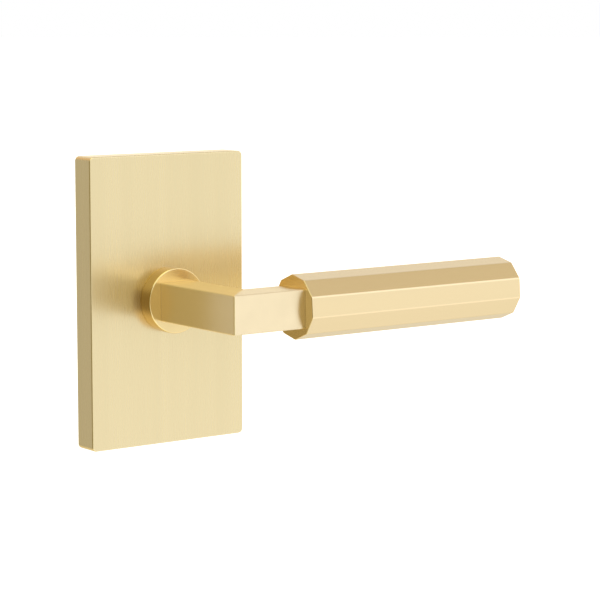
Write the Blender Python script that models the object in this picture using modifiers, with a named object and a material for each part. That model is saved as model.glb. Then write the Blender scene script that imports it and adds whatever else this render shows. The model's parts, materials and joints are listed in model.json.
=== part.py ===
"""Lever handle trim on a rectangular rosette, with its return-spring cassette.

The frame is metres with +Z up. The door face is the plane y = 0, the trim stands towards -Y and the
spindle runs into the door along +Y. The spindle axis is the line x = z = 0, and the grip points to +X.
"""

import math

import bmesh
import bpy
from mathutils import Matrix

MM = 0.001
GAP = 0.3 * MM

# Rosette: the visible cover plate
PLATE_WIDTH = 67.2 * MM
PLATE_HEIGHT = 108.0 * MM
PLATE_DEPTH = 10.0 * MM
PLATE_WALL = 2.5 * MM
PLATE_CORNER = 1.8 * MM
PLATE_RIM = 0.8 * MM

# Lever, as seen
COLLAR_RADIUS = 12.2 * MM
COLLAR_HEIGHT = 5.5 * MM
COLLAR_EDGE = 0.35 * MM
BAR_SIDE = 14.3 * MM
BAR_EDGE = 0.6 * MM
REACH = 62.8 * MM
GRIP_START = 24.0 * MM
GRIP_END = 123.8 * MM
GRIP_SIDES = 10
GRIP_RADIUS = 12.05 * MM
GRIP_TURN = math.radians(4.5)
GRIP_EDGE = 0.25 * MM
GRIP_BORE = 8.5 * MM
GRIP_WALL = 8.0 * MM
GRIP_AXIS_Y = -REACH + BAR_SIDE / 2

# Fasteners
GRUB_RADIUS = 2.0 * MM
GRUB_LENGTH = 6.0 * MM
GRUB_Y = -4.7 * MM
NECK_SCREW_RADIUS = 2.5 * MM
NECK_SCREW_SEAT = -11.5 * MM
SET_SCREW_RADIUS = 1.5 * MM
SET_SCREW_Y = -3.4 * MM
GRIP_SCREW_RADIUS = 3.0 * MM
DOWEL_RADIUS = 1.5 * MM
DOWEL_LENGTH = 11.0 * MM
DOWEL_OFFSET = 4.0 * MM

# Shank, bush and spindle
SHANK_RADIUS = 9.0 * MM
SHANK_FLAT = 8.0 * MM
SHANK_END = 17.0 * MM
SOCKET_SIDE = 8.6 * MM
SOCKET_START = -7.0 * MM
SPINDLE_SIDE = 8.0 * MM
SPINDLE_END = 36.0 * MM
BUSH_RADIUS = 11.0 * MM
BUSH_FLANGE = 13.5 * MM

# Mounting plate and through bolts
BACK_PLATE = (61.0 * MM, 2.2 * MM, 102.0 * MM)
BACK_PLATE_BORE = 10.0 * MM
TAB_WIDTH = 16.0 * MM
TAB_THICKNESS = 2.0 * MM
BOLT_OFFSET = 24.2 * MM
BOLT_RADIUS = 2.5 * MM
BOLT_END = 34.0 * MM

# Return-spring cassette
CASSETTE_RADIUS = 21.2 * MM
CASSETTE_WALL = 1.4 * MM
CASSETTE_DEPTH = 11.0 * MM
FLOOR_THICKNESS = 1.5 * MM
COVER_THICKNESS = 1.2 * MM
CASSETTE_BORE = 9.6 * MM
PILLAR_CIRCLE = 17.0 * MM
PILLAR_RADIUS = 2.6 * MM
CASSETTE_SCREW_RADIUS = 1.5 * MM
CAM_RADIUS = 13.6 * MM
CAM_THICKNESS = 2.0 * MM
LUG_TIP = 19.2 * MM
LUG_WIDTH = 6.8 * MM
LEVER_TRAVEL = math.radians(50)
COIL_RADIUS = 11.6 * MM
WIRE_RADIUS = 0.75 * MM
COIL_TURNS = 2.75
COIL_START = math.radians(200)
TANG_BEND = 1.3 * MM
TANG_HOLE = 1.1 * MM

# Planes along the spindle axis, from the front to the back
PLATE_FRONT = -PLATE_DEPTH
COLLAR_BACK = PLATE_FRONT - GAP
COLLAR_FRONT = COLLAR_BACK - COLLAR_HEIGHT
NECK_START = COLLAR_FRONT - GAP
POCKET_TOP = PLATE_FRONT + PLATE_WALL
FLOOR_TOP = GAP + FLOOR_THICKNESS
CAM_FRONT = FLOOR_TOP + GAP
CAM_BACK = CAM_FRONT + CAM_THICKNESS
COVER_FRONT = CASSETTE_DEPTH + GAP
COVER_BACK = COVER_FRONT + COVER_THICKNESS
WASHER_FRONT = COVER_BACK + GAP
WASHER_BACK = WASHER_FRONT + 0.5 * MM
GROOVE = (13.5 * MM, 15.1 * MM)
GROOVE_RADIUS = 7.6 * MM

# Angles about the spindle axis, measured from +X towards +Z
LUG_ANGLE = math.radians(90) + LEVER_TRAVEL / 2
STOP_ANGLE = math.asin((LUG_WIDTH / 2 + PILLAR_RADIUS + GAP) / PILLAR_CIRCLE)
PILLAR_ANGLES = (LUG_ANGLE + STOP_ANGLE, LUG_ANGLE - LEVER_TRAVEL - STOP_ANGLE, math.radians(270))

FINE = 64
SMALL = 24

AXES = {
    "X": (0, math.pi / 2, 0),
    "Y": (-math.pi / 2, 0, 0),
    "Z": (0, 0, 0),
}


def clear_scene():
    for obj in list(bpy.data.objects):
        bpy.data.objects.remove(obj, do_unlink=True)


def new_collection(name):
    made = bpy.data.collections.new(name)
    bpy.context.scene.collection.children.link(made)
    return made


def new_material(name, colour, roughness, metallic):
    made = bpy.data.materials.new(name)
    made.use_nodes = True
    made.diffuse_color = (*colour, 1.0)
    shader = made.node_tree.nodes["Principled BSDF"]
    shader.inputs["Base Color"].default_value = (*colour, 1.0)
    shader.inputs["Roughness"].default_value = roughness
    shader.inputs["Metallic"].default_value = metallic
    return made


clear_scene()
PARTS = new_collection("lever_handle_trim")
CUTTERS = new_collection("cutters")
LEVER_AXIS = bpy.data.objects.new("lever_axis", None)
PARTS.objects.link(LEVER_AXIS)

BRASS = (0.80, 0.60, 0.29)
STEEL = (0.55, 0.56, 0.57)


def finish(name, mesh, colour, roughness=0.3, metallic=1.0, moving=False):
    """The mesh as a named sub-part with a material of its own, on the lever's axis if it moves."""
    obj = bpy.data.objects.new(name, mesh)
    mesh.materials.append(new_material(name, colour, roughness, metallic))
    PARTS.objects.link(obj)
    if moving:
        obj.parent = LEVER_AXIS
    return obj


def mesh_from(bm, name, smooth=True):
    bmesh.ops.recalc_face_normals(bm, faces=bm.faces)
    mesh = bpy.data.meshes.new(name)
    bm.to_mesh(mesh)
    bm.free()
    if smooth:
        mesh.shade_smooth()
        mesh.set_sharp_from_angle(angle=math.radians(30))
    return mesh


def box(name, low, high):
    """A box between two opposite corners."""
    size = [b - a for a, b in zip(low, high)]
    middle = [(a + b) / 2 for a, b in zip(low, high)]
    bm = bmesh.new()
    bmesh.ops.create_cube(bm, size=1.0)
    bmesh.ops.scale(bm, vec=size, verts=bm.verts)
    bmesh.ops.translate(bm, vec=middle, verts=bm.verts)
    return mesh_from(bm, name, smooth=False)


def prism(name, radius, start, end, axis="Y", sides=SMALL, centre=(0, 0), turn=0.0):
    """A prism or cylinder from start to end along an axis, about a centre in the other two axes."""
    bm = bmesh.new()
    bmesh.ops.create_cone(
        bm, cap_ends=True, segments=sides, radius1=radius, radius2=radius, depth=end - start,
        matrix=Matrix.Rotation(turn, 4, "Z"),
    )
    places = {
        "X": ((start + end) / 2, *centre),
        "Y": (centre[0], (start + end) / 2, centre[1]),
        "Z": (*centre, (start + end) / 2),
    }
    to_axis = Matrix.Rotation(AXES[axis][0], 4, "X") @ Matrix.Rotation(AXES[axis][1], 4, "Y")
    bmesh.ops.transform(bm, matrix=Matrix.Translation(places[axis]) @ to_axis, verts=bm.verts)
    return mesh_from(bm, name)


def turned(name, profile, colour, roughness=0.3, metallic=1.0, moving=False, axis="Y",
           place=(0, 0, 0), steps=FINE, ring=True):
    """A turned piece from (radius, distance along the axis) points. A ring's profile closes on itself."""
    area = sum(a[0] * b[1] - b[0] * a[1] for a, b in zip(profile, profile[1:] + profile[:1]))
    if area > 0:
        profile = profile[::-1]
    bm = bmesh.new()
    points = [bm.verts.new((radius, 0, along)) for radius, along in profile]
    for a, b in zip(points, points[1:]):
        bm.edges.new((a, b))
    if ring:
        bm.edges.new((points[-1], points[0]))
    mesh = bpy.data.meshes.new(name)
    bm.to_mesh(mesh)
    bm.free()
    obj = finish(name, mesh, colour, roughness, metallic, moving)
    obj.rotation_euler = AXES[axis]
    obj.location = place
    screw = obj.modifiers.new("turn", "SCREW")
    screw.steps = screw.render_steps = steps
    screw.use_merge_vertices = True
    screw.merge_threshold = 1e-5
    screw.use_smooth_shade = False
    return obj


def cutter(mesh):
    obj = bpy.data.objects.new("cut_" + mesh.name, mesh)
    obj.hide_render = True
    obj.display_type = "WIRE"
    CUTTERS.objects.link(obj)
    return obj


def combine(obj, mesh, operation="DIFFERENCE"):
    modifier = obj.modifiers.new(mesh.name, "BOOLEAN")
    modifier.operation = operation
    modifier.object = cutter(mesh)
    return obj


def bore(obj, name, radius, start, end, **options):
    return combine(obj, prism(name, radius, start, end, **options))


def on_circle(radius, angle):
    return (radius * math.cos(angle), radius * math.sin(angle))


def bevel_edges(bm, chosen, width, segments):
    edges = [edge for edge in bm.edges if chosen(edge)]
    bmesh.ops.bevel(bm, geom=edges, offset=width, segments=segments, affect="EDGES", profile=0.5)


def lies_on(edge, index, value):
    return all(abs(vert.co[index] - value) < 1e-7 for vert in edge.verts)


def runs_along(edge, index):
    step = edge.verts[0].co - edge.verts[1].co
    return abs(abs(step[index]) - step.length) < 1e-7


def rosette_plate():
    """The cover plate: rounded corners, a softened front rim, and hollow behind."""
    bm = bmesh.new()
    bm.from_mesh(box("blank", (-PLATE_WIDTH / 2, PLATE_FRONT, -PLATE_HEIGHT / 2),
                     (PLATE_WIDTH / 2, 0, PLATE_HEIGHT / 2)))
    bevel_edges(bm, lambda edge: runs_along(edge, 1), PLATE_CORNER, 3)
    bevel_edges(bm, lambda edge: lies_on(edge, 1, PLATE_FRONT), PLATE_RIM, 2)
    plate = finish("rosette_plate", mesh_from(bm, "rosette_plate"), BRASS, 0.28)
    inner = [PLATE_WIDTH / 2 - PLATE_WALL, PLATE_HEIGHT / 2 - PLATE_WALL]
    combine(plate, box("pocket", (-inner[0], POCKET_TOP, -inner[1]), (inner[0], PLATE_WALL, inner[1])))
    bore(plate, "plate_bore", BUSH_RADIUS + GAP, PLATE_FRONT - MM, POCKET_TOP + MM, sides=FINE)
    bore(plate, "grub_hole", GRUB_RADIUS + GAP, -PLATE_HEIGHT / 2 - MM, -inner[1] + MM,
         axis="Z", centre=(0, GRUB_Y))


def screw(name, head, radius, length, socket, axis, place, facing=1, moving=False):
    """A screw whose head stands up from place, towards the axis's positive end, or its negative end for
    facing -1. Head and socket are each (radius, height)."""
    profile = [
        (0, head[1] - socket[1]), (socket[0], head[1] - socket[1]), (socket[0], head[1]),
        (head[0] * 0.88, head[1]), (head[0], head[1] * 0.85), (head[0], 0),
        (radius, 0), (radius, -length + radius * 0.3), (radius * 0.7, -length), (0, -length),
    ]
    profile = [(out, facing * along) for out, along in profile]
    turned(name, profile, STEEL, 0.35, moving=moving, axis=axis, place=place, steps=SMALL, ring=False)


def set_screw(name, radius, outer, inner, socket, place, colour, moving=False):
    """A headless screw along Z, its socket at the outer end and a coned tip at the inner end."""
    cone = radius * 0.3
    profile = [
        (0, outer + socket[1]), (socket[0], outer + socket[1]), (socket[0], outer), (radius, outer),
        (radius, inner - cone), (radius - cone, inner), (0, inner),
    ]
    turned(name, profile, colour, 0.35, moving=moving, axis="Z", place=place, steps=SMALL, ring=False)


def rosette_grub_screw():
    """The set screw through the cover plate's lower wall into the mounting plate's tab."""
    outer = -PLATE_HEIGHT / 2 + 0.4 * MM
    set_screw("rosette_grub_screw", GRUB_RADIUS, outer, outer + GRUB_LENGTH, (1.1 * MM, 2.0 * MM),
              (0, GRUB_Y, 0), BRASS)


def mounting_plate():
    """The steel plate on the door, with a tab at each end that centres the cover plate."""
    width, thickness, height = BACK_PLATE
    mesh = box("mounting_plate", (-width / 2, -thickness, -height / 2), (width / 2, 0, height / 2))
    plate = finish("mounting_plate", mesh, STEEL, 0.4)
    for side, end in (("upper", 1), ("lower", -1)):
        ends = sorted((end * height / 2, end * (height / 2 - TAB_THICKNESS)))
        low = (-TAB_WIDTH / 2, POCKET_TOP + GAP, ends[0])
        high = (TAB_WIDTH / 2, -thickness / 2, ends[1])
        combine(plate, box(side + "_tab", low, high), "UNION")
        bore(plate, side + "_bolt_hole", BOLT_RADIUS + GAP, -thickness - MM, MM,
             centre=(0, end * BOLT_OFFSET))
    bore(plate, "tab_hole", GRUB_RADIUS + GAP, -height / 2 - MM, -height / 2 + TAB_THICKNESS + MM,
         axis="Z", centre=(0, GRUB_Y))
    bore(plate, "back_plate_bore", BACK_PLATE_BORE, -thickness - MM, MM, sides=FINE)
    for number, angle in enumerate(PILLAR_ANGLES, 1):
        bore(plate, f"plate_screw_hole_{number}", CASSETTE_SCREW_RADIUS + GAP, -thickness - MM, MM,
             centre=on_circle(PILLAR_CIRCLE, angle))


def through_bolts():
    head_front = -BACK_PLATE[1] - GAP
    washer = 1.0 * MM
    for side, end in (("upper", 1), ("lower", -1)):
        place = (0, 0, end * BOLT_OFFSET)
        turned("through_bolt_washer_" + side, [
            (BOLT_RADIUS + GAP, head_front - washer), (4.6 * MM, head_front - washer),
            (4.6 * MM, head_front), (BOLT_RADIUS + GAP, head_front),
        ], STEEL, 0.35, place=place, steps=SMALL)
        seat = head_front - washer - GAP
        screw("through_bolt_" + side, (4.3 * MM, 3.0 * MM), BOLT_RADIUS, BOLT_END - seat,
              (1.6 * MM, 1.8 * MM), "Y", (0, seat, place[2]), facing=-1)


def bearing_bush():
    front = PLATE_FRONT + 0.2 * MM
    flange = POCKET_TOP + GAP
    inner = SHANK_RADIUS + GAP
    turned("bearing_bush", [
        (inner, front), (BUSH_RADIUS, front), (BUSH_RADIUS, flange), (BUSH_FLANGE, flange),
        (BUSH_FLANGE, flange + 1.5 * MM), (inner, flange + 1.5 * MM),
    ], (0.86, 0.85, 0.80), 0.5, 0.0)


def cassette_housing():
    """The cup that holds the spring, screwed against the back of the mounting plate."""
    inner = CASSETTE_RADIUS - CASSETTE_WALL
    housing = turned("cassette_housing", [
        (CASSETTE_BORE, GAP), (CASSETTE_RADIUS, GAP), (CASSETTE_RADIUS, CASSETTE_DEPTH),
        (inner, CASSETTE_DEPTH), (inner, FLOOR_TOP), (CASSETTE_BORE, FLOOR_TOP),
    ], STEEL, 0.4)
    for number, angle in enumerate(PILLAR_ANGLES, 1):
        bore(housing, f"floor_hole_{number}", CASSETTE_SCREW_RADIUS + GAP, -MM, FLOOR_TOP + MM,
             centre=on_circle(PILLAR_CIRCLE, angle))


def cassette_cover():
    cover = turned("cassette_cover", [
        (CASSETTE_BORE, COVER_FRONT), (CASSETTE_RADIUS, COVER_FRONT),
        (CASSETTE_RADIUS, COVER_BACK), (CASSETTE_BORE, COVER_BACK),
    ], STEEL, 0.4)
    for number, angle in enumerate(PILLAR_ANGLES, 1):
        bore(cover, f"cover_hole_{number}", CASSETTE_SCREW_RADIUS + GAP, COVER_FRONT - MM,
             COVER_BACK + MM, centre=on_circle(PILLAR_CIRCLE, angle))
    bore(cover, "fixed_tang_hole", TANG_HOLE, COVER_FRONT - MM, COVER_BACK + MM,
         centre=on_circle(COIL_RADIUS, coil_angle(1) + TANG_BEND / COIL_RADIUS))


def cassette_pillars_and_screws():
    """Sleeves that space the cover off the floor, each with its screw. The first two stop the lug."""
    for number, angle in enumerate(PILLAR_ANGLES, 1):
        x, z = on_circle(PILLAR_CIRCLE, angle)
        inner = CASSETTE_SCREW_RADIUS + GAP
        turned(f"cassette_pillar_{number}", [
            (inner, CAM_FRONT), (PILLAR_RADIUS, CAM_FRONT),
            (PILLAR_RADIUS, CASSETTE_DEPTH), (inner, CASSETTE_DEPTH),
        ], BRASS, 0.4, place=(x, 0, z), steps=SMALL)
        seat = COVER_BACK + GAP
        screw(f"cassette_screw_{number}", (2.6 * MM, 1.6 * MM), CASSETTE_SCREW_RADIUS, seat + 2.0 * MM,
              (0.9 * MM, 0.9 * MM), "Y", (x, seat, z))


def coil_angle(part):
    """The coil's angle at a share of its height, from the cam to the cover."""
    return COIL_START + part * COIL_TURNS * math.tau


def return_spring():
    """A torsion spring round the shank: one axial tang in the cam, the other in the cover."""
    low = CAM_BACK + GAP + WIRE_RADIUS
    high = COVER_FRONT - GAP - WIRE_RADIUS
    points = []

    def put(angle, y):
        x, z = on_circle(COIL_RADIUS, angle)
        points.append((x, y, z))

    bends = 4
    put(coil_angle(0) - TANG_BEND / COIL_RADIUS, CAM_FRONT + 0.4 * MM)
    for step in range(bends):
        turn = math.pi / 2 * (1 - step / bends)
        put(coil_angle(0) - TANG_BEND / COIL_RADIUS * math.sin(turn),
            low - TANG_BEND * (1 - math.cos(turn)))
    count = round(COIL_TURNS * 18)
    for step in range(count + 1):
        put(coil_angle(step / count), low + (high - low) * step / count)
    for step in range(1, bends + 1):
        turn = math.pi / 2 * step / bends
        put(coil_angle(1) + TANG_BEND / COIL_RADIUS * math.sin(turn),
            high + TANG_BEND * (1 - math.cos(turn)))
    put(coil_angle(1) + TANG_BEND / COIL_RADIUS, COVER_BACK - 0.1 * MM)

    curve = bpy.data.curves.new("return_spring", "CURVE")
    curve.dimensions = "3D"
    curve.bevel_depth = WIRE_RADIUS
    curve.bevel_resolution = 2
    curve.use_fill_caps = True
    spline = curve.splines.new("POLY")
    spline.points.add(len(points) - 1)
    for target, point in zip(spline.points, points):
        target.co = (*point, 1.0)
    finish("return_spring", curve, (0.62, 0.60, 0.55), 0.3)


def cam_plate():
    """The driver on the shank's flats: it winds the spring, and its lug meets the stop pillars."""
    cam = finish("cam_plate", prism("cam_plate", CAM_RADIUS, CAM_FRONT, CAM_BACK, sides=FINE), STEEL,
                 0.35, moving=True)
    lug = box("lug", (CAM_RADIUS * 0.7, CAM_FRONT, -LUG_WIDTH / 2), (LUG_TIP, CAM_BACK, LUG_WIDTH / 2))
    lug.transform(Matrix.Rotation(-LUG_ANGLE, 4, "Y"))
    combine(cam, lug, "UNION")
    combine(cam, double_d("cam_bore", SHANK_RADIUS + GAP, SHANK_FLAT + GAP, CAM_FRONT - MM, CAM_BACK + MM))
    bore(cam, "moving_tang_hole", TANG_HOLE, CAM_FRONT - MM, CAM_BACK + MM,
         centre=on_circle(COIL_RADIUS, coil_angle(0) - TANG_BEND / COIL_RADIUS))


def double_d(name, radius, flat, start, end):
    """A cylinder along Y with two flats across X."""
    bm = bmesh.new()
    bm.from_mesh(prism(name, radius, start, end, sides=FINE))
    for side in (-1, 1):
        geometry = list(bm.verts) + list(bm.edges) + list(bm.faces)
        bmesh.ops.bisect_plane(bm, geom=geometry, dist=1e-7, plane_co=(side * flat, 0, 0),
                               plane_no=(side, 0, 0), clear_outer=True)
        open_edges = [edge for edge in bm.edges if edge.is_boundary]
        bmesh.ops.holes_fill(bm, edges=open_edges)
    return mesh_from(bm, name, smooth=False)


def lever_shank():
    """The collar and the tube behind it, with a screw seat, a spindle socket, flats and a ring groove."""
    narrow = NECK_SCREW_RADIUS + GAP
    half = SOCKET_SIDE / 2
    shank = turned("lever_shank", [
        (narrow, COLLAR_FRONT), (COLLAR_RADIUS - COLLAR_EDGE, COLLAR_FRONT),
        (COLLAR_RADIUS, COLLAR_FRONT + COLLAR_EDGE), (COLLAR_RADIUS, COLLAR_BACK),
        (SHANK_RADIUS, COLLAR_BACK), (SHANK_RADIUS, GROOVE[0]), (GROOVE_RADIUS, GROOVE[0]),
        (GROOVE_RADIUS, GROOVE[1]), (SHANK_RADIUS, GROOVE[1]), (SHANK_RADIUS, SHANK_END - 0.8 * MM),
        (SHANK_RADIUS - 0.8 * MM, SHANK_END), (half, SHANK_END), (half, NECK_SCREW_SEAT),
        (narrow, NECK_SCREW_SEAT),
    ], BRASS, 0.28, moving=True)
    combine(shank, box("socket", (-half, SOCKET_START, -half), (half, SHANK_END + MM, half)))
    for side, name in ((-1, "flat_left"), (1, "flat_right")):
        xs = sorted((side * SHANK_FLAT, side * (SHANK_RADIUS + MM)))
        combine(shank, box(name, (xs[0], FLOOR_TOP, -SHANK_RADIUS), (xs[1], SHANK_END + MM, SHANK_RADIUS)))
    bore(shank, "set_screw_hole", SET_SCREW_RADIUS + GAP, -SHANK_RADIUS - MM, 0, axis="Z",
         centre=(0, SET_SCREW_Y))


def spindle():
    half = SPINDLE_SIDE / 2
    mesh = box("spindle", (-half, SOCKET_START + GAP, -half), (half, SPINDLE_END, half))
    bm = bmesh.new()
    bm.from_mesh(mesh)
    bevel_edges(bm, lambda edge: True, 0.4 * MM, 1)
    finish("spindle", mesh_from(bm, "spindle"), STEEL, 0.35, moving=True)


def spindle_set_screw():
    set_screw("spindle_set_screw", SET_SCREW_RADIUS, -SHANK_RADIUS + GAP, -SPINDLE_SIDE / 2 - GAP,
              (0.8 * MM, 1.5 * MM), (0, SET_SCREW_Y, 0), STEEL, moving=True)


def neck_screw():
    """The low-headed screw in the shank that draws the square bar onto the collar."""
    screw("neck_screw", (4.0 * MM, 3.0 * MM), NECK_SCREW_RADIUS, 16.0 * MM, (1.5 * MM, 1.6 * MM),
          "Y", (0, NECK_SCREW_SEAT + GAP, 0), moving=True)


def thrust_washer():
    turned("thrust_washer", [
        (SHANK_RADIUS + GAP, WASHER_FRONT), (12.4 * MM, WASHER_FRONT),
        (12.4 * MM, WASHER_BACK), (SHANK_RADIUS + GAP, WASHER_BACK),
    ], STEEL, 0.3)


def retaining_ring():
    """The spring ring in the shank's groove: an open ring with an eye at each end."""
    front, back = WASHER_BACK + 0.5 * MM, WASHER_BACK + 1.5 * MM
    inner, outer = GROOVE_RADIUS + GAP, 11.2 * MM
    opening = math.radians(20)
    eye_angle = math.radians(27)
    ring = turned("retaining_ring", [(inner, front), (outer, front), (outer, back), (inner, back)],
                  STEEL, 0.3, moving=True)
    for number, side in enumerate((-1, 1), 1):
        centre = on_circle(10.3 * MM, math.radians(270) + side * eye_angle)
        combine(ring, prism(f"eye_{number}", 2.1 * MM, front, back, centre=centre), "UNION")
        bore(ring, f"eye_hole_{number}", 0.8 * MM, front - MM, back + MM, sides=16, centre=centre)
    half = math.sin(opening) * inner
    combine(ring, box("ring_opening", (-half, front - MM, -14 * MM), (half, back + MM, -5 * MM)))


def lever_neck():
    """The square bar: out from the collar, a mitred corner, then along to the grip."""
    half = BAR_SIDE / 2
    outline = [
        (-half, NECK_START), (half, NECK_START), (half, -REACH + BAR_SIDE),
        (GRIP_START - GAP, -REACH + BAR_SIDE), (GRIP_START - GAP, -REACH), (-half, -REACH),
    ]
    bm = bmesh.new()
    face = bm.faces.new([bm.verts.new((x, y, -half)) for x, y in outline])
    raised = bmesh.ops.extrude_face_region(bm, geom=[face])["geom"]
    raised_points = [item for item in raised if isinstance(item, bmesh.types.BMVert)]
    bmesh.ops.translate(bm, vec=(0, 0, BAR_SIDE), verts=raised_points)
    bmesh.ops.recalc_face_normals(bm, faces=bm.faces)

    def away_from_ends(edge):
        return not (lies_on(edge, 1, NECK_START) or lies_on(edge, 0, GRIP_START - GAP))

    bevel_edges(bm, away_from_ends, BAR_EDGE, 2)
    neck = finish("lever_neck", mesh_from(bm, "lever_neck"), BRASS, 0.28, moving=True)
    bore(neck, "neck_thread", NECK_SCREW_RADIUS + GAP, NECK_START - 12.8 * MM, NECK_START + MM)
    bore(neck, "arm_thread", GRIP_SCREW_RADIUS + GAP, GRIP_START - 12.0 * MM, GRIP_START + MM,
         axis="X", centre=(GRIP_AXIS_Y, 0))
    bore(neck, "arm_dowel_hole", DOWEL_RADIUS + GAP, GRIP_START - 6.0 * MM, GRIP_START + MM,
         axis="X", centre=(GRIP_AXIS_Y + DOWEL_OFFSET, DOWEL_OFFSET))


def grip():
    """The ten-sided grip, bored from its far end, with one facet to the front, turned slightly upwards."""
    mesh = prism("grip", GRIP_RADIUS, GRIP_START, GRIP_END, axis="X", sides=GRIP_SIDES,
                 centre=(GRIP_AXIS_Y, 0), turn=math.pi / GRIP_SIDES - GRIP_TURN)
    bm = bmesh.new()
    bm.from_mesh(mesh)
    bevel_edges(bm, lambda edge: True, GRIP_EDGE, 2)
    made = finish("grip", mesh_from(bm, "grip"), BRASS, 0.28, moving=True)
    wall = GRIP_START + GRIP_WALL
    bore(made, "grip_bore", GRIP_BORE, wall, GRIP_END + MM, axis="X", sides=48, centre=(GRIP_AXIS_Y, 0))
    bore(made, "grip_screw_hole", GRIP_SCREW_RADIUS + GAP, GRIP_START - MM, wall + MM, axis="X",
         centre=(GRIP_AXIS_Y, 0))
    bore(made, "grip_dowel_hole", DOWEL_RADIUS + GAP, GRIP_START - MM, GRIP_START + 6.0 * MM, axis="X",
         centre=(GRIP_AXIS_Y + DOWEL_OFFSET, DOWEL_OFFSET))


def grip_fastening():
    """The screw, lock washer and dowel that hold the grip on the arm."""
    seat = GRIP_START + GRIP_WALL + GAP
    washer = 1.5 * MM
    axis_place = (0, GRIP_AXIS_Y, 0)
    turned("grip_lock_washer", [
        (GRIP_SCREW_RADIUS + GAP, seat), (5.2 * MM, seat), (5.2 * MM, seat + washer),
        (GRIP_SCREW_RADIUS + GAP, seat + washer),
    ], STEEL, 0.35, moving=True, axis="X", place=axis_place, steps=SMALL)
    head = seat + washer + GAP
    screw("grip_screw", (5.0 * MM, 6.0 * MM), GRIP_SCREW_RADIUS, 21.0 * MM, (2.5 * MM, 3.0 * MM),
          "X", (head, GRIP_AXIS_Y, 0), moving=True)
    mesh = prism("grip_dowel", DOWEL_RADIUS, GRIP_START - DOWEL_LENGTH / 2,
                 GRIP_START + DOWEL_LENGTH / 2, axis="X",
                 centre=(GRIP_AXIS_Y + DOWEL_OFFSET, DOWEL_OFFSET))
    finish("grip_dowel", mesh, STEEL, 0.3, moving=True)


def grip_end_plug():
    """The shallow cup pressed into the grip's far end, flush with it."""
    outer = GRIP_BORE - GAP
    end = GRIP_END - 0.2 * MM
    turned("grip_end_plug", [
        (0, end), (outer - 0.3 * MM, end), (outer, end - 0.3 * MM), (outer, end - 8.0 * MM),
        (outer - 1.5 * MM, end - 8.0 * MM), (outer - 1.5 * MM, end - 2.0 * MM), (0, end - 2.0 * MM),
    ], BRASS, 0.28, moving=True, axis="X", place=(0, GRIP_AXIS_Y, 0), ring=False)


def main():
    rosette_plate()
    rosette_grub_screw()
    mounting_plate()
    through_bolts()
    bearing_bush()
    cassette_housing()
    cassette_cover()
    cassette_pillars_and_screws()
    return_spring()
    thrust_washer()
    lever_shank()
    lever_neck()
    neck_screw()
    cam_plate()
    retaining_ring()
    spindle()
    spindle_set_screw()
    grip()
    grip_fastening()
    grip_end_plug()


main()
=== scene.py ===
"""Looks for the lever handle trim: visible pieces, materials, studio and camera round the CAD frame."""

import json
import math

import bmesh
import bpy
from mathutils import Matrix, Vector


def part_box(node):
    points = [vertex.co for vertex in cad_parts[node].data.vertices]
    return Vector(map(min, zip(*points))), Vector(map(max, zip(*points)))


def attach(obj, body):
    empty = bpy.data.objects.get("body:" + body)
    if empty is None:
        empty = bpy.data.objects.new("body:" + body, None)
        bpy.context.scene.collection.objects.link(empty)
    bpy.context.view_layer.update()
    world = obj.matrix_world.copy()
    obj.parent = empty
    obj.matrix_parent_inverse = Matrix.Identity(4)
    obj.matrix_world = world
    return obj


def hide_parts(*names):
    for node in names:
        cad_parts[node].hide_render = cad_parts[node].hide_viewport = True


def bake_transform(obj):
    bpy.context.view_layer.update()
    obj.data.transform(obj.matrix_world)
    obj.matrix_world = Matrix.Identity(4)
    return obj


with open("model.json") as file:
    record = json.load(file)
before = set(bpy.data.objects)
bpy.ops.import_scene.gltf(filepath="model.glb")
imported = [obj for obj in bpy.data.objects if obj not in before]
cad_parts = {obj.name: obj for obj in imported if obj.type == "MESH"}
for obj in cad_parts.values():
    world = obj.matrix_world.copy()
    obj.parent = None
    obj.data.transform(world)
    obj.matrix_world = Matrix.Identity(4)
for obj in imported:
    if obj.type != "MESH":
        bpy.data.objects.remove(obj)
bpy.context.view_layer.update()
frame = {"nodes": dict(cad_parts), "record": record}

MM = 0.001
NODES = frame["nodes"]
SLOTS = {row["node"]: row["material_slot"] for row in frame["record"]["subparts"]}
BODY_OF = {
    node: body
    for body, nodes in frame["record"]["behaviour"]["bodies"].items()
    for node in nodes
}

# Edge roundings and seams that the coarse frame leaves out
PLATE_CORNER = 1.8 * MM
PLATE_RIM = 0.5 * MM
PLATE_WALL = 2.5 * MM
COLLAR_EDGE = 0.45 * MM
BAR_EDGE = 0.6 * MM
GRIP_EDGE = 0.45 * MM
GRIP_RIM = 0.25 * MM
GRIP_SIDES = 10
GRIP_TURN = math.radians(4.5)
GRIP_BORE = 8.5 * MM
GRIP_FLOOR = 8.0 * MM
SEAM = 0.05 * MM
CLEARANCE = 0.3 * MM
BUSH_BORE = 11.3 * MM
GRUB_BORE = 2.15 * MM

# The shank behind the collar; distances along it are measured from the door's face
SHANK_RADIUS = 9.0 * MM
SHANK_CHAMFER = 0.8 * MM
RING_GROOVE_RADIUS = 7.6 * MM
RING_GROOVE = (13.5 * MM, 15.1 * MM)
NECK_SCREW_BORE = 2.8 * MM
NECK_SCREW_SEAT = -11.5 * MM
SOCKET_HALF = 4.3 * MM
SOCKET_FLOOR = -7.0 * MM
FLATS_HALF = 8.0 * MM
FLATS_FROM = 1.8 * MM

# The plug in the grip's far end
PLUG_EDGE = 0.35 * MM
PLUG_WALL = 1.5 * MM
PLUG_FLOOR = 2.0 * MM

# The return spring's winding, as in the frame
COIL_TURNS = 2.75
COIL_START = math.radians(200)
TANG_BEND = 1.3 * MM
TANG_STEP = 0.4 * MM
TANG_BEND_STEPS = 8
COIL_STEPS = 48
WIRE_RADIUS = 0.75 * MM
WIRE_SIDES = 16

# Sides of the turned pieces and bores
FINE = 128
SMALL = 48

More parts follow.
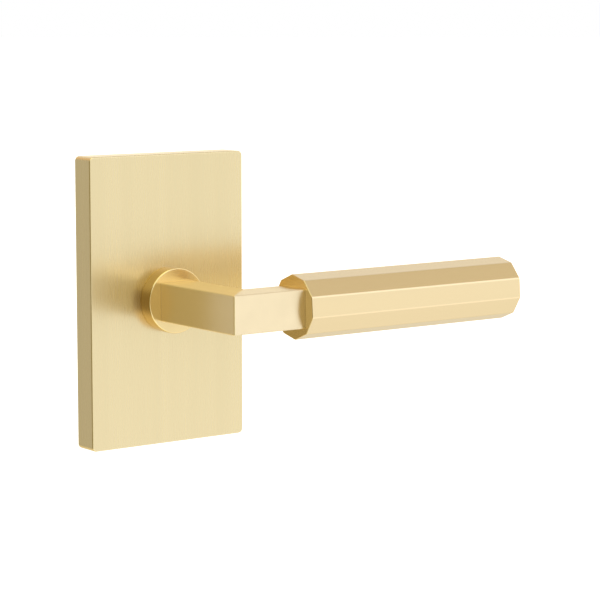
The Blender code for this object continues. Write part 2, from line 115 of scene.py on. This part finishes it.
# Threads: sides round the screw, rings to each pitch, and depth as a part of the pitch
THREAD_SIDES = 28
THREAD_RINGS = 5
THREAD_DEPTH = 0.28
THREAD_RUNOUT = 0.25
POINT_TAPER = 0.62
HEAD_ROUNDING = 0.25

GRAIN_MAP = "grain"
SIDE_FACING = 0.3
WELD_DISTANCE = 0.01 * MM

# The floor and the camera, in metres and radians
FLOOR_HEIGHT = -0.19
FLOOR_SIZE = 30.0
CAMERA_PLACE = (-0.4692, -0.7244, 0.1091)
CAMERA_YAW, CAMERA_PITCH = 0.6383, 0.1275
CAMERA_LENS, CAMERA_SENSOR = 138.95, 36.0

# The light tent: colours of the light from a set of directions, blended smoothly between them.
# They were fitted so that the brass shows the photograph's tones from its viewing angle.
TENT_SHARPNESS = 40.0
TENT = (
    ((0.59, -0.8, -0.13), (1.02, 1.03, 1.05)),
    ((0.59, -0.65, -0.47), (1.30, 1.30, 1.40)),
    ((0.59, -0.25, -0.77), (1.02, 1.02, 1.03)),
    ((0.59, 0.65, -0.47), (0.93, 0.96, 1.02)),
    ((0.59, 0.8, 0.13), (1.40, 1.40, 1.40)),
    ((0.59, 0.65, 0.47), (0.89, 0.92, 1.09)),
    ((0.59, -0.25, 0.77), (0.70, 0.63, 0.52)),
    ((0.59, -0.65, 0.47), (1.40, 1.44, 1.64)),
    ((-0.59, 0.8, -0.13), (0.60, 0.57, 0.51)),
    ((-0.59, -0.8, -0.13), (0.50, 0.46, 0.36)),
    ((-0.25, -0.8, 0.55), (1.04, 1.08, 1.05)),
    ((0.0, -0.8, -0.6), (1.50, 1.50, 1.50)),
    ((-0.9, -0.4, 0.0), (0.25, 0.18, 0.00)),
    ((-0.3, 0.5, 0.8), (0.88, 0.62, 0.40)),
    ((-0.3, 0.5, -0.8), (0.99, 0.85, 0.56)),
    ((-0.1, -0.3, 0.95), (1.56, 1.63, 1.12)),
    ((-0.1, -0.3, -0.95), (0.86, 0.80, 0.45)),
    ((1.0, 0.0, 0.0), (1.24, 1.16, 1.11)),
)


# ---------------------------------------------------------------- materials


class Shader:
    """A Principled material being put together from nodes."""

    def __init__(self, name):
        self.material = bpy.data.materials.new(name)
        self.material.use_nodes = True
        self.nodes = self.material.node_tree.nodes
        self.links = self.material.node_tree.links
        self.principled = self.nodes["Principled BSDF"]
        self.place = self.nodes.new("ShaderNodeTexCoord").outputs["Object"]

    def set(self, **values):
        for name, value in values.items():
            self.principled.inputs[name.replace("_", " ")].default_value = value
        return self

    def noise(self, scale, detail=3.0, rough=0.5):
        """Noise whose frequency along each axis is given per metre."""
        mapping = self.nodes.new("ShaderNodeMapping")
        mapping.inputs["Scale"].default_value = scale
        self.links.new(self.place, mapping.inputs["Vector"])
        noise = self.nodes.new("ShaderNodeTexNoise")
        noise.inputs["Scale"].default_value = 1.0
        noise.inputs["Detail"].default_value = detail
        noise.inputs["Roughness"].default_value = rough
        self.links.new(mapping.outputs["Vector"], noise.inputs["Vector"])
        return noise.outputs["Fac"]

    def spread(self, value, low, high):
        """Maps a noise value, which stays near a half, to a range."""
        node = self.nodes.new("ShaderNodeMapRange")
        node.inputs["From Min"].default_value = 0.3
        node.inputs["From Max"].default_value = 0.7
        node.inputs["To Min"].default_value = low
        node.inputs["To Max"].default_value = high
        self.links.new(value, node.inputs["Value"])
        return node.outputs["Result"]

    def add(self, first, second):
        node = self.nodes.new("ShaderNodeMath")
        node.operation = "ADD"
        self.links.new(first, node.inputs[0])
        self.links.new(second, node.inputs[1])
        return node.outputs["Value"]

    def colours(self, value, first, second):
        node = self.nodes.new("ShaderNodeMix")
        node.data_type = "RGBA"
        node.inputs["A"].default_value = (*first, 1.0)
        node.inputs["B"].default_value = (*second, 1.0)
        self.links.new(value, node.inputs["Factor"])
        self.links.new(node.outputs["Result"], self.principled.inputs["Base Color"])
        return self

    def roughness(self, value):
        self.links.new(value, self.principled.inputs["Roughness"])
        return self

    def bump(self, value, strength, distance):
        node = self.nodes.new("ShaderNodeBump")
        node.inputs["Strength"].default_value = strength
        node.inputs["Distance"].default_value = distance
        self.links.new(value, node.inputs["Height"])
        self.links.new(node.outputs["Normal"], self.principled.inputs["Normal"])
        return self

    def stretch(self, axis, amount):
        """Spreads the highlights across the grain: round an axis, or as the piece's grain map says."""
        node = self.nodes.new("ShaderNodeTangent")
        node.direction_type = "RADIAL" if axis else "UV_MAP"
        if axis:
            node.axis = axis
            self.set(Anisotropic_Rotation=0.25)
        else:
            node.uv_map = GRAIN_MAP
        self.set(Anisotropic=amount)
        self.links.new(node.outputs["Tangent"], self.principled.inputs["Tangent"])
        return self


def grain_scale(axis, across, along):
    return [along if index == axis else across for index in range(3)]


def satin_brass(name, axis, colour, rough, stretch=0.5, turned=False, grain=0.05):
    """Brushed and lacquered brass, its grain along one axis, or round it on a turned piece."""
    shader = Shader(name)
    fine = shader.noise(grain_scale(axis, 5200, 70), 2.0)
    bands = shader.noise(grain_scale(axis, 110, 3), 2.0)
    light = [value * 1.012 for value in colour]
    dark = [value * 0.975 for value in colour]
    shader.colours(shader.spread(bands, 0.0, 1.0), light, dark)
    shader.roughness(shader.add(
        shader.spread(fine, rough - 0.015, rough + 0.015),
        shader.spread(bands, -0.01, 0.01),
    ))
    shader.bump(fine, grain, 0.01 * MM)
    shader.stretch("XYZ"[axis] if turned else None, stretch)
    shader.set(Metallic=1.0, Specular_Tint=(0.95, 0.88, 0.74, 1.0))
    return shader.material


def plated_steel(name, light, dark, axis=2, rough=0.34):
    """Zinc-plated steel: a cloudy bright surface over faint rolling marks."""
    shader = Shader(name)
    cloud = shader.noise((260, 260, 260), 4.0, 0.6)
    fine = shader.noise(grain_scale(axis, 3600, 160), 2.0)
    shader.colours(shader.spread(cloud, 0.0, 1.0), light, dark)
    shader.roughness(shader.add(
        shader.spread(cloud, rough - 0.06, rough + 0.06),
        shader.spread(fine, -0.03, 0.03),
    ))
    shader.bump(fine, 0.15, 0.02 * MM)
    shader.set(Metallic=1.0)
    return shader.material


def moulded_plastic(name, light, dark):
    shader = Shader(name)
    cloud = shader.noise((500, 500, 500), 3.0)
    fine = shader.noise((6000, 6000, 6000), 2.0)
    shader.colours(shader.spread(cloud, 0.0, 1.0), light, dark)
    shader.roughness(shader.spread(cloud, 0.42, 0.52))
    shader.bump(fine, 0.2, 0.02 * MM)
    return shader.material


MATERIALS = {
    "satin_brass": satin_brass("plate_brass", 2, (0.812, 0.684, 0.400), 0.28, 0.5, grain=0.035),
    "turned_brass": satin_brass("pillar_brass", 1, (0.86, 0.70, 0.38), 0.3, 0.3, True),
    "zinc_steel": plated_steel("zinc_plate", (0.66, 0.67, 0.68), (0.52, 0.54, 0.57)),
    "spring_steel": plated_steel("spring_wire", (0.30, 0.30, 0.31), (0.20, 0.20, 0.22), 1, 0.3),
    "black_steel": plated_steel("black_oxide", (0.075, 0.075, 0.08), (0.045, 0.045, 0.05), 1, 0.4),
    "bush_plastic": moulded_plastic("nylon", (0.80, 0.79, 0.74), (0.74, 0.73, 0.67)),
}
# One real finish: the small differences between these brasses are painted light, and the much darker side
# of the collar is painted shade, a dark reflection painted into the brass; both stand in for surroundings
# that the tent doesn't hold
GRIP_COLOUR = (0.860, 0.690, 0.398)
GRIP_BRASS = satin_brass("grip_brass", 0, GRIP_COLOUR, 0.24, 0.6)
CAP_BRASS = satin_brass("cap_brass", 0, GRIP_COLOUR, 0.24, 0.4, True)
NECK_BRASS = satin_brass("neck_brass", 1, (0.920, 0.775, 0.490), 0.40, 0.93)
COLLAR_BRASS = satin_brass("collar_brass", 1, (0.880, 0.690, 0.340), 0.20, 0.4, True)
# Painted shade: a much darker brass for the collar's side, a dark reflection painted into its colour
COLLAR_SIDE_PAINTED_SHADE = satin_brass("collar_side_painted_shade", 1, (0.530, 0.365, 0.136), 0.12, 0.3, True)


# ---------------------------------------------------------------- mesh helpers


def soften(obj, width=None, segments=2, angle=35.0):
    """Rounds an object's edges and keeps its flat faces flat in shading."""
    obj.data.shade_smooth()
    obj.data.set_sharp_from_angle(angle=math.radians(angle))
    if width:
        bevel = obj.modifiers.new("round", "BEVEL")
        bevel.width = width
        bevel.segments = segments
        bevel.limit_method = "ANGLE"
        bevel.angle_limit = math.radians(angle)
        bevel.harden_normals = True
        bevel.use_clamp_overlap = True
    normals = obj.modifiers.new("flat faces", "WEIGHTED_NORMAL")
    normals.keep_sharp = True
    return obj


def stand_for(obj, material, *nodes):
    """Puts a fine piece in the place of CAD nodes, with the finish given, and hides the nodes."""
    obj.data.materials.clear()
    obj.data.materials.append(material)
    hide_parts(*nodes)
    return obj


def lay_grain(obj, grain_at):
    """Lays the map that a brushed finish reads: its first direction runs across the grain on every face."""
    layer = obj.data.uv_layers.new(name=GRAIN_MAP)
    for face in obj.data.polygons:
        axis = grain_at(face.center)
        grain, other = Vector((0, 0, 0)), Vector((0, 0, 0))
        grain[axis] = 1.0
        other[(axis + 1) % 3] = 1.0
        across = face.normal.cross(grain)
        if across.length < 0.1:
            across = face.normal.cross(other)
        across.normalize()
        lengthwise = across.cross(face.normal)
        for loop in face.loop_indices:
            place = obj.data.vertices[obj.data.loops[loop].vertex_index].co / MM
            layer.data[loop].uv = (place.dot(across), place.dot(lengthwise))
    return obj


def new_object(name, bm):
    mesh = bpy.data.meshes.new(name)
    bmesh.ops.recalc_face_normals(bm, faces=bm.faces)
    bm.to_mesh(mesh)
    bm.free()
    obj = bpy.data.objects.new(name, mesh)
    bpy.context.scene.collection.objects.link(obj)
    return obj


def box_mesh(low, high):
    bm = bmesh.new()
    bmesh.ops.create_cube(bm, size=1.0)
    bmesh.ops.scale(bm, vec=[b - a for a, b in zip(low, high)], verts=bm.verts)
    bmesh.ops.translate(bm, vec=[(a + b) / 2 for a, b in zip(low, high)], verts=bm.verts)
    return bm


TO_AXIS = {
    "X": Matrix.Rotation(math.pi / 2, 4, "Y"),
    "Y": Matrix.Rotation(-math.pi / 2, 4, "X"),
    "Z": Matrix.Identity(4),
}


def along(axis, distance, place):
    """The point at a distance along an axis that runs through place."""
    point = Vector(place)
    point["XYZ".index(axis)] = distance
    return point


def prism_mesh(radius, start, end, axis, place, sides, turn=0.0):
    bm = bmesh.new()
    centre = along(axis, (start + end) / 2, place)
    bmesh.ops.create_cone(
        bm, cap_ends=True, segments=sides, radius1=radius, radius2=radius, depth=end - start,
        matrix=Matrix.Translation(centre) @ TO_AXIS[axis] @ Matrix.Rotation(turn, 4, "Z"),
    )
    return bm


def bridge(bm, pairs, steps):
    """Joins rings of points with faces. A ring of one point is the tip of a fan."""
    for first, second in pairs:
        for step in range(steps):
            after = (step + 1) % steps
            corners = [first[step % len(first)], first[after % len(first)],
                       second[after % len(second)], second[step % len(second)]]
            bm.faces.new(list(dict.fromkeys(corners)))


def turned_mesh(profile, axis, place, steps=FINE):
    """Turns (radius, distance along the axis) points about an axis.

    A profile that stays off the axis closes on itself.
    """
    bm = bmesh.new()
    rings = []
    for radius, distance in profile:
        if radius < 1e-9:
            rings.append([bm.verts.new((0, 0, distance))])
            continue
        angles = [math.tau * step / steps for step in range(steps)]
        rings.append([bm.verts.new((radius * math.cos(a), radius * math.sin(a), distance)) for a in angles])
    pairs = list(zip(rings, rings[1:]))
    if len(rings[0]) > 1:
        pairs.append((rings[-1], rings[0]))
    bridge(bm, pairs, steps)
    middle = along(axis, 0, place)
    bmesh.ops.transform(bm, matrix=Matrix.Translation(middle) @ TO_AXIS[axis], verts=bm.verts)
    return bm


def arc(centre, radius, start, end, count=5):
    """Points of a round corner in a profile, from one angle to another, in degrees."""
    turns = [math.radians(start + (end - start) * step / count) for step in range(count + 1)]
    return [(centre[0] + radius * math.cos(t), centre[1] + radius * math.sin(t)) for t in turns]


def cut(obj, bm):
    """Cuts a closed shape out of an object for good."""
    tool = new_object("tool", bm)
    modifier = obj.modifiers.new("cut", "BOOLEAN")
    modifier.operation = "DIFFERENCE"
    modifier.object = tool
    graph = bpy.context.evaluated_depsgraph_get()
    mesh = bpy.data.meshes.new_from_object(obj.evaluated_get(graph))
    obj.modifiers.remove(modifier)
    obj.data = mesh
    bpy.data.objects.remove(tool)
    return obj


def bevel_edges(bm, chosen, width, segments):
    edges = [edge for edge in bm.edges if chosen(edge)]
    bmesh.ops.bevel(bm, geom=edges, offset=width, segments=segments, affect="EDGES", profile=0.5)


def lies_on(edge, index, value):
    return all(abs(vert.co[index] - value) < 1e-6 for vert in edge.verts)


def runs_along(edge, index):
    step = edge.verts[0].co - edge.verts[1].co
    return abs(abs(step[index]) - step.length) < 1e-7


def middle_of(node):
    low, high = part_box(node)
    return (low + high) / 2


# ---------------------------------------------------------------- visible brass


def rosette_plate():
    """The cover plate: round corners, a soft front rim, and the hollow behind it."""
    low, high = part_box("rosette_plate")
    bm = box_mesh(low, high)
    bevel_edges(bm, lambda edge: runs_along(edge, 1), PLATE_CORNER, 8)
    bevel_edges(bm, lambda edge: lies_on(edge, 1, low.y), PLATE_RIM, 6)
    plate = new_object("rosette_cover", bm)
    inside = Vector((PLATE_WALL, PLATE_WALL, PLATE_WALL))
    cut(plate, box_mesh(low + inside, Vector((high.x - PLATE_WALL, high.y + MM, high.z - PLATE_WALL))))
    cut(plate, prism_mesh(BUSH_BORE, low.y - MM, low.y + PLATE_WALL + MM, "Y", (0, 0, 0), FINE))
    grub = middle_of("rosette_grub_screw")
    cut(plate, prism_mesh(GRUB_BORE, low.z - MM, low.z + PLATE_WALL + MM, "Z", grub, SMALL))
    soften(lay_grain(plate, lambda place: 2))
    stand_for(plate, MATERIALS["satin_brass"], "rosette_plate")
    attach(plate, "root")


def lever_shank():
    """The collar in front, and the tube behind it with its ring groove, flats and spindle socket."""
    low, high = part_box("lever_shank")
    collar = high.x
    front, back = low.y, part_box("rosette_plate")[0].y - SEAM
    tube, groove, socket = SHANK_RADIUS, RING_GROOVE_RADIUS, SOCKET_HALF
    edge, chamfer = COLLAR_EDGE, SHANK_CHAMFER
    profile = [
        (NECK_SCREW_BORE, front),
        *arc((collar - edge, front + edge), edge, -90, 0, 6),
        *arc((collar - edge / 2, back - edge / 2), edge / 2, 0, 90, 3),
        (tube, back), (tube, RING_GROOVE[0]), (groove, RING_GROOVE[0]), (groove, RING_GROOVE[1]),
        (tube, RING_GROOVE[1]),
        (tube, high.y - chamfer), (tube - chamfer, high.y), (socket, high.y),
        (socket, NECK_SCREW_SEAT), (NECK_SCREW_BORE, NECK_SCREW_SEAT),
    ]
    shank = new_object("collar_and_shank", turned_mesh(profile, "Y", (0, 0, 0)))
    cut(shank, box_mesh((-socket, SOCKET_FLOOR, -socket), (socket, high.y + MM, socket)))
    for side in (-1, 1):
        xs = sorted((side * FLATS_HALF, side * (tube + MM)))
        cut(shank, box_mesh((xs[0], FLATS_FROM, -tube), (xs[1], high.y + MM, tube)))
    soften(shank)
    stand_for(shank, COLLAR_BRASS, "lever_shank")
    # The collar's side faces get the painted shade; its front and back keep the plain brass
    shank.data.materials.append(COLLAR_SIDE_PAINTED_SHADE)
    for face in shank.data.polygons:
        face.material_index = int(abs(face.normal.y) < SIDE_FACING)
    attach(shank, "lever")


def lever_neck():
    """The square bar with its mitred corner, its grain running along each arm, and hairline seams."""
    low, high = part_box("lever_neck")
    half = -low.x
    start = high.y + CLEARANCE - SEAM
    end = high.x + CLEARANCE - SEAM
    side = 2 * half
    outline = [
        (-half, start), (half, start), (half, low.y + side), (end, low.y + side), (end, low.y),
        (-half, low.y),
    ]
    bm = bmesh.new()
    face = bm.faces.new([bm.verts.new((x, y, -half)) for x, y in outline])
    raised = bmesh.ops.extrude_face_region(bm, geom=[face])["geom"]
    points = [item for item in raised if isinstance(item, bmesh.types.BMVert)]
    bmesh.ops.translate(bm, vec=(0, 0, side), verts=points)
    bevel_edges(bm, lambda edge: not (lies_on(edge, 1, start) or lies_on(edge, 0, end)), BAR_EDGE, 6)
    corner = Vector((-half, low.y, 0))
    geometry = bm.verts[:] + bm.edges[:] + bm.faces[:]
    bmesh.ops.bisect_plane(bm, geom=geometry, dist=1e-7, plane_co=corner, plane_no=(1, -1, 0))
    neck = new_object("square_neck", bm)
    lay_grain(neck, lambda place: 0 if place.x - corner.x > place.y - corner.y else 1)
    soften(neck)
    stand_for(neck, NECK_BRASS, "lever_neck")
    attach(neck, "lever")


def grip():
    """The ten-sided grip, crisp facets and lightly broken end rims, bored from its far end."""
    low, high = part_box("grip")
    centre = (low + high) / 2
    radius = (high.z - low.z) / 2 / math.cos(GRIP_TURN)
    bm = prism_mesh(radius, low.x, high.x, "X", centre, GRIP_SIDES, math.pi / GRIP_SIDES - GRIP_TURN)
    bevel_edges(bm, lambda edge: runs_along(edge, 0), GRIP_EDGE, 5)
    bevel_edges(bm, lambda edge: lies_on(edge, 0, low.x), GRIP_RIM, 3)
    bevel_edges(bm, lambda edge: lies_on(edge, 0, high.x), 2 * GRIP_RIM, 4)
    made = new_object("faceted_grip", bm)
    cut(made, prism_mesh(GRIP_BORE, low.x + GRIP_FLOOR, high.x + MM, "X", centre, FINE))
    soften(lay_grain(made, lambda place: 0))
    stand_for(made, GRIP_BRASS, "grip")
    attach(made, "lever")


def grip_end_plug():
    """The plug in the grip's far end, a shallow cup with a round rim."""
    low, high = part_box("grip_end_plug")
    radius = high.z
    edge, wall = PLUG_EDGE, PLUG_WALL
    profile = [
        (0, high.x), *arc((radius - edge, high.x - edge), edge, 90, 0, 5), (radius, low.x),
        (radius - wall, low.x), (radius - wall, high.x - PLUG_FLOOR), (0, high.x - PLUG_FLOOR),
    ]
    plug = soften(new_object("grip_cap", turned_mesh(profile, "X", middle_of("grip_end_plug"))))
    stand_for(plug, CAP_BRASS, "grip_end_plug")
    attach(plug, "lever")


# ---------------------------------------------------------------- the mechanism


def return_spring():
    """The torsion spring as a fine coil, which winds between the cover and the cam."""
    low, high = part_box("return_spring")
    coil = (high.z - low.z) / 2 - WIRE_RADIUS
    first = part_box("cam_plate")[1].y + CLEARANCE + WIRE_RADIUS
    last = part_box("cassette_cover")[0].y - CLEARANCE - WIRE_RADIUS
    bend = TANG_BEND / coil
    full = COIL_TURNS * math.tau

    route = [(COIL_START - bend, low.y + step * TANG_STEP) for step in range(3)]
    bends = TANG_BEND_STEPS
    for step in range(bends):
        turn = math.pi / 2 * (1 - step / bends)
        route.append((COIL_START - bend * math.sin(turn), first - TANG_BEND * (1 - math.cos(turn))))
    count = round(COIL_TURNS * COIL_STEPS)
    for step in range(count + 1):
        route.append((COIL_START + full * step / count, first + (last - first) * step / count))
    for step in range(1, bends + 1):
        turn = math.pi / 2 * step / bends
        route.append((COIL_START + full + bend * math.sin(turn), last + TANG_BEND * (1 - math.cos(turn))))
    route.append((COIL_START + full + bend, high.y))

    points = [Vector((coil * math.cos(a), y, coil * math.sin(a))) for a, y in route]
    spring = new_object("torsion_spring", wire_mesh(points, WIRE_RADIUS, WIRE_SIDES))
    spring.data.shade_smooth()
    stand_for(spring, MATERIALS["spring_steel"], "return_spring")
    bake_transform(spring)


def wire_mesh(points, radius, sides):
    """A round wire along points that circle the Y axis, capped at both ends."""
    bm = bmesh.new()
    rings = []
    for index, point in enumerate(points):
        ahead = points[min(index + 1, len(points) - 1)] - points[max(index - 1, 0)]
        outward = Vector((point.x, 0, point.z)).normalized()
        tangent = ahead.normalized()
        side = tangent.cross(outward).normalized()
        ring = []
        for step in range(sides):
            turn = math.tau * step / sides
            ring.append(bm.verts.new(point + radius * (math.cos(turn) * outward + math.sin(turn) * side)))
        rings.append(ring)
    bridge(bm, zip(rings, rings[1:]), sides)
    bm.faces.new(rings[0])
    bm.faces.new(rings[-1])
    return bm


def threaded(name, node, material, axis, head, shank_radius, pitch, socket, facing):
    """A screw with a helical thread: head is (radius, height), facing is the head's way along the axis."""
    low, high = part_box(node)
    index = "XYZ".index(axis)
    top = high[index] if facing > 0 else low[index]
    tip = low[index] if facing > 0 else high[index]
    seat = top - facing * head[1]
    steps = THREAD_SIDES
    length = abs(tip - seat)
    count = round(length / pitch * THREAD_RINGS)
    depth = THREAD_DEPTH * pitch
    bm = bmesh.new()
    rings = []

    def ring(distance, radius_at):
        made = []
        for step in range(steps):
            turn = math.tau * step / steps
            radius = radius_at(turn)
            made.append(bm.verts.new((radius * math.cos(turn), radius * math.sin(turn), distance)))
        rings.append(made)

    round_edge = min(head[0], head[1]) * HEAD_ROUNDING
    inset = top - facing * socket[1]
    rings.append([bm.verts.new((0, 0, inset))])
    for radius, distance in (
        (socket[0] * 0.98, inset), (socket[0], inset), (socket[0], top),
        *[(head[0] - round_edge * (1 - math.sin(t)), top - facing * round_edge * (1 - math.cos(t)))
          for t in (0.0, 0.4, 0.8, 1.2, math.pi / 2)],
        (head[0], seat), (shank_radius - depth, seat),
    ):
        shape = hexagon(radius) if radius <= socket[0] else (lambda turn, r=radius: r)
        ring(distance, shape)
    for step in range(1, count):
        distance = seat + (tip - seat) * step / count
        travelled = length * step / count
        fade = min(1.0, (length - travelled) / pitch)

        def thread(turn):
            phase = (travelled / pitch - facing * turn / math.tau) % 1.0
            ridge = 1 - abs(2 * phase - 1)
            return shank_radius - depth * (1 - ridge) - THREAD_RUNOUT * shank_radius * (1 - fade)

        ring(distance, thread)
    ring(tip, lambda turn: shank_radius * POINT_TAPER)
    rings.append([bm.verts.new((0, 0, tip))])
    bridge(bm, zip(rings, rings[1:]), steps)
    middle = along(axis, 0, middle_of(node))
    bmesh.ops.transform(bm, matrix=Matrix.Translation(middle) @ TO_AXIS[axis], verts=bm.verts)
    screw = new_object(name, bm)
    screw.data.shade_smooth()
    screw.data.set_sharp_from_angle(angle=math.radians(38))
    stand_for(screw, material, node)
    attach(screw, BODY_OF[node])


def hexagon(radius):
    """The distance to a hexagon's side in each direction, for its corner radius."""
    sector = math.tau / 6

    def reach(turn):
        return radius * math.cos(sector / 2) / math.cos((turn % sector) - sector / 2)

    return reach


def fasteners():
    zinc = MATERIALS["zinc_steel"]
    black = MATERIALS["black_steel"]
    for side in ("upper", "lower"):
        threaded("bolt_" + side, "through_bolt_" + side, zinc, "Y", (4.3 * MM, 3.0 * MM), 2.5 * MM,
                 0.8 * MM, (2.0 * MM, 1.8 * MM), -1)
    for number in (1, 2, 3):
        threaded(f"cover_screw_{number}", f"cassette_screw_{number}", zinc, "Y", (2.6 * MM, 1.6 * MM),
                 1.5 * MM, 0.5 * MM, (1.15 * MM, 0.9 * MM), 1)
    threaded("shank_screw", "neck_screw", black, "Y", (4.0 * MM, 3.0 * MM), 2.5 * MM, 0.8 * MM,
             (1.7 * MM, 1.6 * MM), 1)
    threaded("grip_fixing_screw", "grip_screw", black, "X", (5.0 * MM, 6.0 * MM), 3.0 * MM, 1.0 * MM,
             (2.8 * MM, 3.0 * MM), 1)


def cad_nodes_kept():
    """The other CAD nodes keep their shape, with broken edges and their slot's finish."""
    edges = {"mounting_plate": 0.25, "cassette_housing": 0.35, "cassette_cover": 0.2, "spindle": 0.12}
    for name, obj in NODES.items():
        if obj.hide_render:
            continue
        obj.data.materials.clear()
        obj.data.materials.append(MATERIALS[SLOTS[name]])
        weld = obj.modifiers.new("weld", "WELD")
        weld.merge_threshold = WELD_DISTANCE
        soften(obj, edges.get(name, 0.08) * MM, 2)


# ---------------------------------------------------------------- studio


def math_node(tree, operation, first, second=None):
    node = tree.nodes.new("ShaderNodeMath")
    node.operation = operation
    for socket, value in zip(node.inputs, (first, second)):
        if isinstance(value, (int, float)):
            socket.default_value = value
        elif value is not None:
            tree.links.new(value, socket)
    return node.outputs["Value"]


def vector_node(tree, operation, first, second, output="Vector"):
    node = tree.nodes.new("ShaderNodeVectorMath")
    node.operation = operation
    for socket, value in zip(node.inputs, (first, second)):
        if isinstance(value, (tuple, Vector)):
            socket.default_value = value
        else:
            tree.links.new(value, socket)
    return node.outputs[output]


def studio_light(tree):
    """The light from each direction: a smooth blend of the tent's colours, nearest direction first."""
    direction = tree.nodes.new("ShaderNodeTexCoord").outputs["Generated"]
    total, weights = None, None
    for towards, colour in TENT:
        near = vector_node(tree, "DOT_PRODUCT", direction, Vector(towards).normalized(), "Value")
        weight = math_node(tree, "EXPONENT", math_node(tree, "MULTIPLY", near, TENT_SHARPNESS))
        scale = tree.nodes.new("ShaderNodeVectorMath")
        scale.operation = "SCALE"
        scale.inputs[0].default_value = colour
        tree.links.new(weight, scale.inputs["Scale"])
        share = scale.outputs["Vector"]
        total = vector_node(tree, "ADD", total, share) if total else share
        weights = math_node(tree, "ADD", weights, weight) if weights else weight
    mean = tree.nodes.new("ShaderNodeVectorMath")
    mean.operation = "SCALE"
    tree.links.new(total, mean.inputs[0])
    tree.links.new(math_node(tree, "DIVIDE", 1.0, weights), mean.inputs["Scale"])
    return mean.outputs["Vector"]


def studio():
    """A light tent, which the camera sees as plain white, over a pale floor."""
    world = bpy.data.worlds.new("studio")
    bpy.context.scene.world = world
    world.use_nodes = True
    tree = world.node_tree
    nodes, links = tree.nodes, tree.links
    paths = nodes.new("ShaderNodeLightPath")
    seen = nodes.new("ShaderNodeMix")
    seen.data_type = "RGBA"
    seen.inputs["B"].default_value = (1.0, 1.0, 1.0, 1.0)
    links.new(paths.outputs["Is Camera Ray"], seen.inputs["Factor"])
    links.new(studio_light(tree), seen.inputs["A"])
    links.new(seen.outputs["Result"], nodes["Background"].inputs["Color"])

    bm = bmesh.new()
    bmesh.ops.create_grid(bm, x_segments=2, y_segments=2, size=FLOOR_SIZE)
    bmesh.ops.translate(bm, vec=(0, 0, FLOOR_HEIGHT), verts=bm.verts)
    floor = new_object("studio_floor", bm)
    shader = Shader("pale_floor")
    tone = shader.noise((6, 6, 6), 2.0)
    shader.colours(shader.spread(tone, 0.0, 1.0), (0.90, 0.90, 0.90), (0.88, 0.88, 0.88))
    shader.set(Roughness=0.9, Emission_Color=(1, 1, 1, 1), Emission_Strength=0.6)
    floor.data.materials.append(shader.material)
    floor.visible_glossy = False


def camera():
    """The photograph's viewing angle: from the left, a little above."""
    data = bpy.data.cameras.new("camera")
    data.lens = CAMERA_LENS
    data.sensor_width = CAMERA_SENSOR
    data.clip_start, data.clip_end = 0.05, 20.0
    obj = bpy.data.objects.new("camera", data)
    bpy.context.scene.collection.objects.link(obj)
    yaw, pitch = CAMERA_YAW, CAMERA_PITCH
    level = math.cos(pitch)
    looking = Vector((math.sin(yaw) * level, math.cos(yaw) * level, -math.sin(pitch)))
    obj.location = CAMERA_PLACE
    obj.rotation_euler = looking.to_track_quat("-Z", "Y").to_euler()
    bpy.context.scene.camera = obj


rosette_plate()
lever_shank()
lever_neck()
grip()
grip_end_plug()
return_spring()
fasteners()
cad_nodes_kept()
studio()
camera()
bpy.context.scene.view_settings.view_transform = "Standard"
